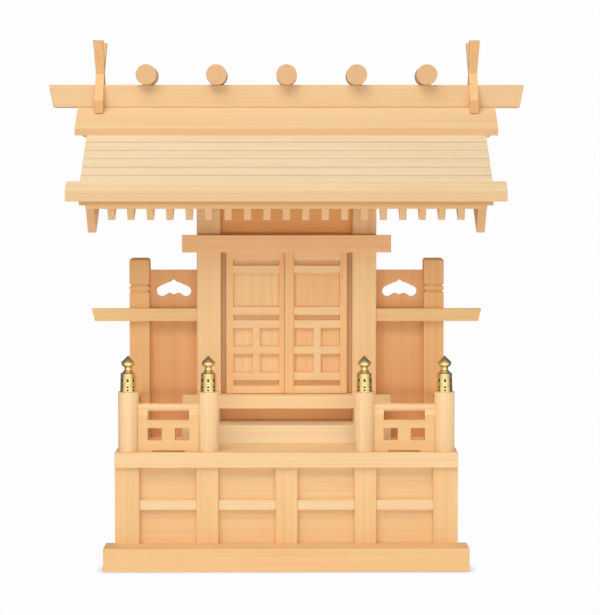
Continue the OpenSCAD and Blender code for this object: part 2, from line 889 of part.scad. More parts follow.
module roof_deck_rear() {
    color(wood) centred() rear_side() deck(rear_eave_run);
}

// Shingle layer of a slope, scored with a groove at each course
module shingle_layer(run) {
    eave = ridge_y - run;
    course_count = floor((run - cap_run - first_course) / course_pitch);
    along_x(roof_w) difference() {
        slope_outline(eave + plank_run, ridge_y, 0, shingle_t);
        for (i = [0:course_count]) {
            y = eave + first_course + i * course_pitch;
            translate([y, roof_z(y)]) rotate(roof_pitch)
                translate([-groove_w / 2, -groove_d]) square([groove_w, 2 * groove_d]);
        }
    }
}

module shingles_front() {
    color(pale_wood) centred() shingle_layer(eave_run);
}

module shingles_rear() {
    color(pale_wood) centred() rear_side() shingle_layer(rear_eave_run);
}

module eave_plank(run) {
    eave = ridge_y - run;
    along_x(roof_w + 2 * plank_reach) slope_outline(eave, eave + plank_run, 0, shingle_t);
}

module eave_planks() {
    color(pale_wood) centred() {
        eave_plank(eave_run);
        rear_side() eave_plank(rear_eave_run);
    }
}

// Ridge

// Cap board on the shingles, planed level under the ridge beam
module ridge_cap() {
    front = ridge_y - cap_run;
    level = ridge_y - drop(cap_t) / tan(roof_pitch);
    back = ridge_y - cap_gap / 2;
    along_x(roof_w + 2 * cap_reach) polygon([
        [front, roof_z(front)], [front, roof_z(front) + drop(cap_t)],
        [level, apex_z], [back, apex_z], [back, roof_z(back)]]);
}

module ridge_caps() {
    color(pale_wood) centred() {
        ridge_cap();
        rear_side() ridge_cap();
    }
}

module ridge_beam() {
    half = deck_half + ridge_beam_reach;
    foot = half - ridge_beam_slant;
    y = [ridge_y - ridge_beam_t / 2, ridge_y + ridge_beam_t / 2];
    color(pale_wood) centred() along_y(y)
        polygon([[-foot, apex_z], [foot, apex_z], [half, ridge_beam_top], [-half, ridge_beam_top]]);
}

module billets() {
    z = ridge_beam_top + billet_r - billet_flat;
    first = -(billet_count - 1) / 2;
    color(pale_wood) centred() for (i = [0:billet_count - 1])
        translate([(first + i) * billet_pitch, ridge_y, 0]) difference() {
            translate([0, billet_len / 2, z]) rotate([90, 0, 0]) cylinder(h = billet_len, r = billet_r);
            translate([0, 0, ridge_beam_top - billet_r])
                cube([2 * billet_r, 2 * billet_len, 2 * billet_r], center = true);
        }
}

// Outline of two crossed boards about their crossing: level tips and upright-cut feet
module cross_outline() {
    foot_drop = cross_foot_run / tan(cross_lean) + cross_board_w;
    intersection() {
        for (s = [-1, 1]) rotate(s * cross_lean)
            translate([-cross_board_w / 2, -2 * foot_drop]) square([cross_board_w, 4 * foot_drop]);
        translate([-2 * foot_drop, -2 * foot_drop]) square([4 * foot_drop, 2 * foot_drop + cross_tip_h]);
        union() {
            translate([-cross_foot_run, -2 * foot_drop]) square([2 * cross_foot_run, 2 * foot_drop]);
            translate([-2 * foot_drop, 0]) square([4 * foot_drop, 4 * foot_drop]);
        }
    }
}

// Edge view of the crossed boards: they thicken towards their tips
module cross_edge() {
    low = -2 * cross_foot_run / tan(cross_lean) - cross_board_w;
    polygon([[-cross_t / 2, low], [cross_t / 2, low], [cross_t / 2, 0], [cross_tip_t / 2, cross_tip_h],
        [-cross_tip_t / 2, cross_tip_h], [-cross_t / 2, 0]]);
}

module crossed_boards() {
    reach = ridge_beam_t + 4 * cross_foot_run;
    color(pale_wood) centred() both_sides() difference() {
        translate([cross_x, ridge_y, cross_z]) intersection() {
            along_x(2 * cross_tip_t) cross_outline();
            along_y([-reach, reach]) cross_edge();
        }
        translate([cross_x, ridge_y, apex_z + ridge_beam_h / 2])
            cube([2 * cross_tip_t, ridge_beam_t, ridge_beam_h], center = true);
    }
}

base_front_bar();
base_front_posts();
base_front_rails();
base_front_panel();
base_sides();
base_back();
floor_board();
railing_posts();
finials();
front_railings();
side_railings();
front_handrails();
side_handrails();
step_block();
front_columns();
rear_columns();
sill();
lintel();
riser_board();
cella_floor();
door_jambs();
front_wall();
back_wall();
side_walls();
purlins();
door_left_frame();
door_left_panel();
door_right_frame();
door_right_panel();
wing_posts();
wing_panels();
wing_rails();
rafters_front();
rafters_rear();
bargeboards_front();
bargeboards_rear();
roof_deck_front();
roof_deck_rear();
shingles_front();
shingles_rear();
eave_planks();
ridge_caps();
ridge_beam();
billets();
crossed_boards();
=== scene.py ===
"""Household altar shrine in bare planed cypress with brass post caps."""
import math

import bmesh
import bpy
from bpy.props import FloatProperty, FloatVectorProperty, IntProperty, PointerProperty
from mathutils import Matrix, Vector


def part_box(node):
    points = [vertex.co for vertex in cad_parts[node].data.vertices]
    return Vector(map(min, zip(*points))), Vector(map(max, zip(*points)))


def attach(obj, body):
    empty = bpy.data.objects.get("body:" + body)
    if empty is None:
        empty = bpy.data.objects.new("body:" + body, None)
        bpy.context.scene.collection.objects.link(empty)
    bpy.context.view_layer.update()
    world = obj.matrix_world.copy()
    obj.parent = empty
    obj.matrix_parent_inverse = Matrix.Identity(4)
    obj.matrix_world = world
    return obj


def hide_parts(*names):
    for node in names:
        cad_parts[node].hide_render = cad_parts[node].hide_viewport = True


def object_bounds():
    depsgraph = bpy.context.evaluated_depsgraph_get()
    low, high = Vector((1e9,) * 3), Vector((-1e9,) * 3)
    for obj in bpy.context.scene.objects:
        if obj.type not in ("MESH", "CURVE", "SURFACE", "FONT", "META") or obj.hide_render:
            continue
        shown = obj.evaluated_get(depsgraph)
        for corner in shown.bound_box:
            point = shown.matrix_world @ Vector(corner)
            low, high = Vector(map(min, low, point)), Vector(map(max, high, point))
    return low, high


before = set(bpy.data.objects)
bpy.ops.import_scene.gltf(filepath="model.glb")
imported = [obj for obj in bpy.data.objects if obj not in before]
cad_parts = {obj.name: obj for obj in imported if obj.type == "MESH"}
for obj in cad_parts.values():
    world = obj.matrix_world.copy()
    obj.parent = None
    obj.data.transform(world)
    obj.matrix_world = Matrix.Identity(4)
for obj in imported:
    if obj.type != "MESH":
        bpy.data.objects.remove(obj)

CAD_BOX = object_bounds()

bl_info = {
    "name": "Household Altar Shrine",
    "version": (1, 0, 0),
    "blender": (4, 5, 0),
    "location": "View3D > Sidebar > Shrine",
    "description": "Finishes a small wooden shrine with grain, eased edges and brass caps",
    "category": "Add Mesh",
}

MM = 0.001
ROOF_PITCH = math.radians(37.33)
SHRINE = "shrine"


def colour(name, text, value):
    """A colour that a user may change."""
    return FloatVectorProperty(
        name=name, description=text, subtype="COLOR", size=3, min=0.0, max=1.0, default=value)


def length(name, text, value):
    """A size that a user may change, in metres."""
    return FloatProperty(name=name, description=text, subtype="DISTANCE", unit="LENGTH", default=value)


def number(name, text, value):
    """A plain number that a user may change."""
    return FloatProperty(name=name, description=text, default=value)


def angle(name, text, degrees):
    """An angle that a user may change."""
    return FloatProperty(name=name, description=text, subtype="ANGLE", default=math.radians(degrees))


class ShrineWood(bpy.types.PropertyGroup):
    """Colours and grain of the planed cypress"""

    pale: colour("Pale wood", "Colour of the early wood between the grain lines", (0.900, 0.600, 0.320))
    dark: colour("Grain lines", "Colour of the late wood in the grain lines", (0.840, 0.500, 0.235))
    end: colour("End grain", "Colour of cut ends", (0.700, 0.350, 0.150))
    line_gap: length("Grain spacing", "Distance between grain lines", 3.2 * MM)
    ease: length("Eased edge", "Width of the planed-off edges", 0.35 * MM)
    roughness: number("Roughness", "Roughness of the planed face", 0.52)


class ShrineBrass(bpy.types.PropertyGroup):
    """Colours and dimples of the brass caps"""

    metal: colour("Brass", "Colour of the polished brass", (0.880, 0.690, 0.320))
    recess: colour("Recess", "Colour in the struck dimples", (0.110, 0.060, 0.015))
    dimples: IntProperty(name="Dimples", description="Dimples round a sleeve", default=8, min=4, max=12)
    depth: length("Dimple depth", "How deep a dimple is struck", 0.5 * MM)


class ShrineStage(bpy.types.PropertyGroup):
    """Camera, floor and light"""

    distance: length("Camera distance", "Camera distance in front of the base bar", 1.40306)
    height: length("Camera height", "Height of the camera", 0.30809)
    side: length("Camera offset", "Sideways place of the camera", 0.00379)
    focal: number("Focal length", "Focal length in millimetres", 104.994)
    tilt: angle("Tilt", "Downward tilt", 2.466)
    turn: angle("Turn", "Turn to the right", 0.2837)
    rise: number("Rise", "Vertical shift of the lens", -0.08)
    key: number("Key light", "Power of the large high front light in watts", 22.8)
    fill: number("Fill light", "Power of the light at the right in watts", 6.0)
    low: number("Low light", "Power of the low light in front in watts", 5.7)
    rear: number("Rear light", "Power of the light behind in watts", 11.0)
    front: number("Front surround", "Strength of the surrounding light in front", 0.45)
    gloss: number("Front in metal", "Strength of the surround in front as polished metal shows it", 1.35)
    shade: number("Sides in metal", "Strength of the surround elsewhere as polished metal shows it", 0.18)
    back: number("Back surround", "Strength of the surrounding light behind", 0.07)
    contact: length("Contact shadow", "Reach of the shadow on the floor round the base", 8.0 * MM)
    floor: colour("Floor", "Colour of the floor and background", (0.985, 0.985, 0.985))


def add_node(tree, kind, values=None, **settings):
    """A shader node with its settings and socket values."""
    made = tree.nodes.new(kind)
    for key, value in settings.items():
        setattr(made, key, value)
    for key, value in (values or {}).items():
        made.inputs[key].default_value = value
    return made


def join(tree, source, out, target, into):
    tree.links.new(source.outputs[out], target.inputs[into])


def blank_material(name):
    """A new material with an empty tree."""
    made = bpy.data.materials.new(name)
    made.use_nodes = True
    made.node_tree.nodes.clear()
    return made


# Turns that lay a piece's grain, given by its axis, along the pattern's X
GRAIN_TURN = {
    "x": (0.0, 0.0, 0.0),
    "y": (0.0, 0.0, -math.pi / 2),
    "z": (0.0, math.pi / 2, 0.0),
    "front_slope": (-ROOF_PITCH, 0.0, -math.pi / 2),
    "rear_slope": (ROOF_PITCH, 0.0, -math.pi / 2),
}
# Directions that cut ends face, by the piece's grain
END_FACES = {
    "x": ((1.0, 0.0, 0.0),),
    "y": ((0.0, 1.0, 0.0),),
    "z": ((0.0, 0.0, 1.0),),
    "front_slope": ((0.0, math.cos(ROOF_PITCH), math.sin(ROOF_PITCH)),),
    "rear_slope": ((0.0, math.cos(ROOF_PITCH), -math.sin(ROOF_PITCH)),),
}
# The same for boards that lean; for boards whose front and back faces take the end colour as well, which on
# the eave planks is painted shade on their fronts; and for the step, whose top takes the end colour as
# painted shade
LEANING_ENDS = ((0.0, 1.0, 0.0), (0.0, 0.0, 1.0))
ENDS_AND_DARK_FRONTS = ((1.0, 0.0, 0.0), (0.0, 1.0, 0.0))
ENDS_AND_SHADED_TOP = ((1.0, 0.0, 0.0), (0.0, 0.0, 1.0))
# Tint of a door's rails beside that of its stiles
RAIL_TINT = (1.00, 1.10, 1.20)
# Features per metre along the grain in the grain lines, and along and across it in the fibres and clouds
LINES_ALONG = 4.0
FIBRE_SCALE = (45.0, 2600.0)
CLOUD_SCALE = (9.0, 34.0)
# Place of the tree's middle beside a board, and how close the rings on cut ends lie
PITH = (0.0, 0.031, 0.047)
RING_SCALE = 130.0
# Cosines between which a face turns from the board's side to its cut end
END_FROM, END_FULL = 0.88, 0.96
GRAIN_RELIEF = 0.08 * MM


def wood(look, grain, place, tint, ends, rails=None):
    """Planed cypress whose grain runs along an axis; place moves the pattern so that boards differ.

    Between two X places in rails the wood is that of a paler board whose grain runs along X.
    """
    made = blank_material(f"cypress_{grain}_{place:g}")
    tree = made.node_tree
    coords = add_node(tree, "ShaderNodeTexCoord")
    shift = (place, place * 0.37, place * 0.61)
    turned = add_node(tree, "ShaderNodeMapping", {"Rotation": GRAIN_TURN[grain], "Location": shift})
    join(tree, coords, "Object", turned, "Vector")
    vector = turned.outputs["Vector"]
    in_rail = None
    if rails:
        level = add_node(tree, "ShaderNodeMapping", {"Rotation": GRAIN_TURN["x"], "Location": shift})
        join(tree, coords, "Object", level, "Vector")
        split = add_node(tree, "ShaderNodeSeparateXYZ")
        join(tree, coords, "Object", split, "Vector")
        middle, half = (rails[0] + rails[1]) / 2, (rails[1] - rails[0]) / 2
        between = add_node(tree, "ShaderNodeMath", {1: middle, 2: half}, operation="COMPARE")
        join(tree, split, "X", between, 0)
        in_rail = between.outputs["Value"]
        swap = add_node(tree, "ShaderNodeMix", data_type="VECTOR")
        tree.links.new(in_rail, swap.inputs["Factor"])
        tree.links.new(vector, swap.inputs["A"])
        join(tree, level, "Vector", swap, "B")
        vector = swap.outputs["Result"]

    def streaks(along, across, detail, rough, distortion=0.0):
        stretch = add_node(tree, "ShaderNodeMapping", {"Scale": (along, across, across)})
        noise = add_node(tree, "ShaderNodeTexNoise", {
            "Scale": 1.0, "Detail": detail, "Roughness": rough, "Distortion": distortion})
        tree.links.new(vector, stretch.inputs["Vector"])
        join(tree, stretch, "Vector", noise, "Vector")
        return noise

    def spread(source, low, high, to_low, to_high):
        made_range = add_node(tree, "ShaderNodeMapRange", {
            "From Min": low, "From Max": high, "To Min": to_low, "To Max": to_high})
        tree.links.new(source, made_range.inputs["Value"])
        return made_range.outputs["Result"]

    def combine(operation, first, second, **settings):
        made_sum = add_node(tree, "ShaderNodeMath", operation=operation, **settings)
        tree.links.new(first, made_sum.inputs[0])
        tree.links.new(second, made_sum.inputs[1])
        return made_sum.outputs["Value"]

    def blend(factor, first, second):
        made_mix = add_node(tree, "ShaderNodeMix", data_type="RGBA")
        tree.links.new(factor, made_mix.inputs["Factor"])
        for key, value in (("A", first), ("B", second)):
            if isinstance(value, tuple):
                made_mix.inputs[key].default_value = value
            else:
                tree.links.new(value, made_mix.inputs[key])
        return made_mix.outputs["Result"]

    def tinted(value, shares=tint):
        return (*(part * share for part, share in zip(value, shares)), 1.0)

    bands = streaks(LINES_ALONG, 1.0 / look.line_gap, 3.0, 0.55, 0.2)
    lines = spread(bands.outputs["Fac"], 0.38, 0.72, 0.0, 0.62)
    fibres = spread(streaks(*FIBRE_SCALE, 2.0, 0.6).outputs["Fac"], 0.3, 0.7, -0.10, 0.10)
    clouds = spread(streaks(*CLOUD_SCALE, 2.0, 0.5).outputs["Fac"], 0.3, 0.7, -0.12, 0.14)
    relief_height = combine("ADD", lines, fibres)
    tone = combine("ADD", relief_height, clouds, use_clamp=True)
    face = blend(tone, tinted(look.pale), tinted(look.dark))
    if rails:
        paler = tuple(share * more for share, more in zip(tint, RAIL_TINT))
        face = blend(in_rail, face, blend(tone, tinted(look.pale, paler), tinted(look.dark, paler)))

    facing = None
    for direction in ends:
        dot = add_node(tree, "ShaderNodeVectorMath", {1: direction}, operation="DOT_PRODUCT")
        join(tree, coords, "Normal", dot, 0)
        either = add_node(tree, "ShaderNodeMath", operation="ABSOLUTE")
        join(tree, dot, "Value", either, 0)
        share = either.outputs["Value"]
        facing = share if facing is None else combine("MAXIMUM", facing, share)
    end_mask = spread(facing, END_FROM, END_FULL, 0.0, 1.0)

    pith = add_node(tree, "ShaderNodeMapping", {"Location": PITH, "Scale": (0.0, 1.0, 1.0)})
    join(tree, turned, "Vector", pith, "Vector")
    rings = add_node(tree, "ShaderNodeTexWave", {
        "Scale": RING_SCALE, "Distortion": 1.2, "Detail": 2.0, "Detail Scale": 0.6},
        wave_type="RINGS", rings_direction="X", wave_profile="SAW")
    join(tree, pith, "Vector", rings, "Vector")
    cut_end = blend(spread(rings.outputs["Fac"], 0.0, 1.0, 0.45, 0.70), tinted(look.pale), tinted(look.end))

    surface = blend(end_mask, face, cut_end)
    relief = add_node(tree, "ShaderNodeBump", {"Strength": 0.35, "Distance": GRAIN_RELIEF})
    tree.links.new(relief_height, relief.inputs["Height"])
    shader = add_node(tree, "ShaderNodeBsdfPrincipled", {"Specular IOR Level": 0.3})
    tree.links.new(surface, shader.inputs["Base Color"])
    rough = spread(tone, 0.0, 1.0, look.roughness - 0.06, look.roughness + 0.14)
    tree.links.new(rough, shader.inputs["Roughness"])
    join(tree, relief, "Normal", shader, "Normal")
    output = add_node(tree, "ShaderNodeOutputMaterial")
    join(tree, shader, "BSDF", output, "Surface")
    return made


def brass(name, value, low, high):
    """Brass of a colour, with a roughness that wanders between two values."""
    made = blank_material(name)
    tree = made.node_tree
    coords = add_node(tree, "ShaderNodeTexCoord")
    noise = add_node(tree, "ShaderNodeTexNoise", {"Scale": 900.0, "Detail": 3.0})
    join(tree, coords, "Object", noise, "Vector")
    rough = add_node(tree, "ShaderNodeMapRange", {
        "From Min": 0.3, "From Max": 0.7, "To Min": low, "To Max": high})
    join(tree, noise, "Fac", rough, "Value")
    relief = add_node(tree, "ShaderNodeBump", {"Strength": 0.2, "Distance": 0.05 * MM})
    join(tree, noise, "Fac", relief, "Height")
    shader = add_node(tree, "ShaderNodeBsdfPrincipled", {"Base Color": (*value, 1.0), "Metallic": 1.0})
    join(tree, rough, "Result", shader, "Roughness")
    join(tree, relief, "Normal", shader, "Normal")
    output = add_node(tree, "ShaderNodeOutputMaterial")
    join(tree, shader, "BSDF", output, "Surface")
    return made


def ease_edges(piece, width):
    """Planed-off edges on a node: its triangles are welded, then its sharp edges bevelled."""
    weld = piece.modifiers.new("weld", "WELD")
    weld.merge_threshold = 1e-6
    bevel = piece.modifiers.new("ease", "BEVEL")
    bevel.width = width
    bevel.segments = 2
    bevel.limit_method = "ANGLE"
    bevel.angle_limit = math.radians(40)
    bevel.harden_normals = True


def finish_timber(names, grain, place, tint=(1.0, 1.0, 1.0), ends=None, ease=1.0, rails=None):
    """Gives nodes the same board's wood and eased edges; ease widens these, rails is as in wood."""
    look = bpy.context.scene.shrine_wood
    stock = wood(look, grain, place, tint, ends or END_FACES[grain], rails)
    for name in names:
        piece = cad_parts[name]
        piece.data.materials.clear()
        piece.data.materials.append(stock)
        ease_edges(piece, look.ease * ease)


class SHRINE_OT_base(bpy.types.Operator):
    """Finishes the panelled base and its floor"""

    bl_idname = "shrine.base"
    bl_label = "Base"

    def execute(self, context):
        finish_timber(["base_front_bar"], "x", 0.11, (0.92, 0.88, 0.78))
        finish_timber(["base_front_posts"], "z", 0.23, (0.95, 0.93, 0.85))
        finish_timber(["base_front_rails"], "x", 0.31, (0.96, 1.05, 1.10))
        finish_timber(["base_front_panel"], "x", 0.47, (0.95, 0.94, 0.87))
        finish_timber(["base_sides"], "y", 0.53)
        finish_timber(["base_back"], "x", 0.59)
        finish_timber(["floor_board"], "x", 0.67, (0.98, 1.02, 1.03))
        return {"FINISHED"}


class SHRINE_OT_railing(bpy.types.Operator):
    """Finishes the railing posts, boards and handrails"""

    bl_idname = "shrine.railing"
    bl_label = "Railing"

    def execute(self, context):
        finish_timber(["railing_posts"], "z", 0.71, (1.00, 1.04, 1.06))
        finish_timber(["front_railings"], "x", 0.79, (0.92, 0.87, 0.76))
        finish_timber(["side_railings"], "y", 0.83)
        finish_timber(["front_handrails"], "x", 0.89)
        finish_timber(["side_handrails"], "y", 0.97)
        return {"FINISHED"}


def arc(middle, radius, start, end, steps):
    """Points of a round stretch in a finial's outline, between two angles in degrees."""
    turns = [math.radians(start + (end - start) * i / steps) for i in range(steps + 1)]
    return [(middle[0] + radius * math.cos(turn), middle[1] + radius * math.sin(turn)) for turn in turns]


# A finial's sizes are in millimetres from the head of its post
SLEEVE_FOOT, SLEEVE_HEAD, SLEEVE_H = 6.5, 6.1, 14.4
# Lower and upper edges of the rows of dimples
DIMPLE_ROWS = ((1.0, 2.3), (3.5, 4.8), (8.3, 10.7))
# Height, half width of the bottom and depth of the grooves round a sleeve
RING_GROOVES = ((5.4, 0.2, 0.35), (6.8, 0.1, 0.20), (11.7, 0.2, 0.35), (13.1, 0.1, 0.20))
GROOVE_SLOPE = 0.1
# Radius and height along the shoulder, lip, neck, jewel and tip
CAP_OUTLINE = [
    *arc((5.2, 14.4), 0.9, 20, 90, 3), *arc((3.55, 16.1), 0.7, -75, 75, 5), (2.95, 17.4), (2.95, 19.3),
    *arc((2.3, 23.1), 3.2, -70, 15, 7), *arc((0.0, 28.52), 0.48, 45, 90, 3)]
COLUMNS_PER_DIMPLE = 3


class SHRINE_OT_finials(bpy.types.Operator):
    """Turns the brass caps of the railing posts and strikes their dimples"""

    bl_idname = "shrine.finials"
    bl_label = "Finials"

    def execute(self, context):
        look = context.scene.shrine_brass
        low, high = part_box("finials")
        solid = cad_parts["finials"].data
        tips = sorted({round(v.co.x, 5) for v in solid.vertices if high.z - v.co.z < 0.01 * MM})
        middle_y = (low.y + high.y) / 2
        shape = bmesh.new()
        for x in tips:
            self.turn(shape, Vector((x, middle_y, low.z)), look)
        mesh = bpy.data.meshes.new("turned_finials")
        shape.to_mesh(mesh)
        shape.free()
        mesh.materials.append(brass("polished_brass", look.metal, 0.18, 0.30))
        mesh.materials.append(brass("struck_brass", look.recess, 0.35, 0.55))
        mesh.set_sharp_from_angle(angle=math.radians(38))
        piece = bpy.data.objects.new("turned_finials", mesh)
        context.scene.collection.objects.link(piece)
        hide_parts("finials")
        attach(piece, SHRINE)
        return {"FINISHED"}

    def sleeve(self):
        """Radius and height along the tapering sleeve, with its grooves and the edges of its dimples."""
        rows = [(0.0, 0.0), (SLEEVE_H, 0.0)] + [(edge, 0.0) for row in DIMPLE_ROWS for edge in row]
        for middle, half, depth in RING_GROOVES:
            for side in (-1, 1):
                rows.append((middle + side * half, depth))
                rows.append((middle + side * (half + GROOVE_SLOPE), 0.0))
        taper = (SLEEVE_HEAD - SLEEVE_FOOT) / SLEEVE_H
        return [(SLEEVE_FOOT + taper * z - depth, z) for z, depth in sorted(rows)]

    def turn(self, shape, foot, look):
        """Spins one finial on its post's head."""
        columns = look.dimples * COLUMNS_PER_DIMPLE
        start = -math.pi / columns
        side = Vector((math.cos(start), math.sin(start), 0.0))
        outline = [(0.0, 0.0), *self.sleeve(), *CAP_OUTLINE]
        verts = [shape.verts.new(foot + side * r * MM + Vector((0.0, 0.0, z * MM))) for r, z in outline]
        edges = [shape.edges.new(pair) for pair in zip(verts, verts[1:])]
        known = set(shape.faces)
        bmesh.ops.spin(shape, geom=verts + edges, cent=foot, axis=(0.0, 0.0, 1.0), angle=2 * math.pi,
                       steps=columns, use_merge=True)
        bmesh.ops.remove_doubles(shape, verts=shape.verts, dist=0.001 * MM)
        faces = [f for f in shape.faces if f not in known]
        bmesh.ops.recalc_face_normals(shape, faces=faces)
        for f in faces:
            f.smooth = True
        self.strike(shape, faces, foot, columns, look)

    def strike(self, shape, faces, foot, columns, look):
        """Sinks the dimples into one finial's sleeve."""
        step = 2 * math.pi / columns
        struck = []
        for f in faces:
            place = f.calc_center_median() - foot
            in_row = any(low < place.z / MM < high for low, high in DIMPLE_ROWS)
            column = round(math.atan2(place.y, place.x) / step)
            if in_row and column % COLUMNS_PER_DIMPLE == 0:
                struck.append(f)
        bmesh.ops.inset_individual(shape, faces=struck, thickness=0.10 * MM, depth=-look.depth)
        for f in struck:
            f.material_index = 1
            f.smooth = False


class SHRINE_OT_cella(bpy.types.Operator):
    """Finishes the step, columns, sill, lintel and walls"""

    bl_idname = "shrine.cella"
    bl_label = "Cella"

    def execute(self, context):
        # Paler tint: painted light on the step's lit front; its top in the end colour is painted shade
        finish_timber(["step_block"], "x", 1.03, (0.99, 1.19, 1.42), ENDS_AND_SHADED_TOP)
        finish_timber(["front_columns", "rear_columns"], "z", 1.09, (0.99, 1.00, 0.96))
        # Paler tint: painted light
        finish_timber(["sill"], "x", 1.13, (1.04, 1.12, 1.14))
        # Paler, warmer tint: painted light standing in for bounce light in the recess under the sill
        finish_timber(["riser_board"], "x", 1.17, (1.11, 1.04, 0.90))
        # Warmer, darker tint: painted shade under the eave
        finish_timber(["lintel"], "x", 1.21, (1.04, 0.93, 0.83))
        finish_timber(["cella_floor"], "x", 1.27)
        finish_timber(["door_jambs"], "z", 1.31)
        # Deep orange tint: painted shade of the wall under the eave, behind the lintel
        finish_timber(["front_wall"], "x", 1.37, (1.09, 0.88, 0.63))
        finish_timber(["back_wall"], "x", 1.39)
        finish_timber(["side_walls"], "z", 1.43)
        finish_timber(["purlins"], "x", 1.51)
        return {"FINISHED"}


# Widths of the doors' stiles at their hinges and where they meet
HINGE_STILE_W, LEFT_LAP_W, RIGHT_LAP_W = 5.9 * MM, 4.8 * MM, 8.0 * MM


class SHRINE_OT_doors(bpy.types.Operator):
    """Finishes the two door leaves"""

    bl_idname = "shrine.doors"
    bl_label = "Doors"

    def execute(self, context):
        low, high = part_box("door_left_frame")
        rails = (low.x + HINGE_STILE_W, high.x - LEFT_LAP_W)
        finish_timber(["door_left_frame"], "z", 1.57, (1.00, 0.91, 0.81), rails=rails)
        finish_timber(["door_left_panel"], "z", 1.61, (1.02, 1.03, 0.95))
        low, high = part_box("door_right_frame")
        rails = (low.x + RIGHT_LAP_W, high.x - HINGE_STILE_W)
        finish_timber(["door_right_frame"], "z", 1.63, (1.00, 0.94, 0.84), rails=rails)
        finish_timber(["door_right_panel"], "z", 1.67, (1.01, 0.92, 0.81))
        return {"FINISHED"}


class SHRINE_OT_wings(bpy.types.Operator):
    """Finishes the wing posts, panels and rails"""

    bl_idname = "shrine.wings"
    bl_label = "Wings"

    def execute(self, context):
        # Deep orange tints: painted shade of the posts and panels under the roof
        finish_timber(["wing_posts"], "z", 1.71, (0.92, 0.78, 0.62))
        finish_timber(["wing_panels"], "z", 1.79, (0.92, 0.74, 0.60))
        finish_timber(["wing_rails"], "x", 1.87, (0.92, 0.89, 0.76))
        return {"FINISHED"}


class SHRINE_OT_roof(bpy.types.Operator):
    """Finishes the rafters, bargeboards, decks, shingles and eave planks"""

    bl_idname = "shrine.roof"
    bl_label = "Roof"

    def execute(self, context):
        # Paler tint: painted light on the rafter ends
        finish_timber(["rafters_front"], "front_slope", 1.91, (1.08, 1.20, 1.26))
        finish_timber(["bargeboards_front"], "front_slope", 1.93, (1.04, 1.06, 1.04))
        finish_timber(["rafters_rear", "bargeboards_rear"], "rear_slope", 1.97)
        finish_timber(["roof_deck_front", "roof_deck_rear"], "x", 2.03, (0.85, 0.75, 0.62))
        finish_timber(["shingles_front", "shingles_rear"], "x", 2.11, (0.94, 1.12, 1.35))
        # Paler tint: painted light on the planks' lit tops; their fronts in the end colour are painted
        # shade
        finish_timber(["eave_planks"], "x", 2.17, (0.96, 1.09, 1.19), ENDS_AND_DARK_FRONTS)
        return {"FINISHED"}


class SHRINE_OT_ridge(bpy.types.Operator):
    """Finishes the ridge caps, beam, billets and crossed boards"""

    bl_idname = "shrine.ridge"
    bl_label = "Ridge"

    def execute(self, context):
        finish_timber(["ridge_caps"], "x", 2.23, (0.94, 0.98, 0.98), ENDS_AND_DARK_FRONTS)
        finish_timber(["ridge_beam"], "x", 2.29, (0.87, 0.88, 0.88), ease=2.4)
        finish_timber(["billets"], "y", 2.37, (0.90, 0.95, 1.00))
        # Warmer tint: painted shade
        finish_timber(["crossed_boards"], "z", 2.41, (0.95, 0.88, 0.78), LEANING_ENDS)
        return {"FINISHED"}


def area_light(name, place, aim, size, power):
    """A large soft lamp that looks at a point."""
    lamp = bpy.data.lights.new(name, "AREA")
    lamp.shape = "RECTANGLE"
    lamp.size, lamp.size_y = size
    lamp.energy = power
    made = bpy.data.objects.new(name, lamp)
    made.location = place
    made.rotation_mode = "QUATERNION"
    made.rotation_quaternion = (Vector(aim) - Vector(place)).to_track_quat("-Z", "Y")
    bpy.context.scene.collection.objects.link(made)
    return made


# Direction in which the surrounding light is strongest
FRONT_AXIS = (0.0, -0.944, -0.330)
# Share of its light that the floor keeps where the shrine wholly covers it
CONTACT_SHADE = 0.35
# Cosine of the angle from that direction at which the surround turns bright in polished metal
MIRRORED_FROM = 0.0


def seen_rays(tree):
    """A node that is 1 for rays by which the camera sees the background and 0 for all others."""
    rays = add_node(tree, "ShaderNodeLightPath")
    seen = add_node(tree, "ShaderNodeMath", operation="MAXIMUM")
    join(tree, rays, "Is Camera Ray", seen, 0)
    join(tree, rays, "Is Transmission Ray", seen, 1)
    return seen


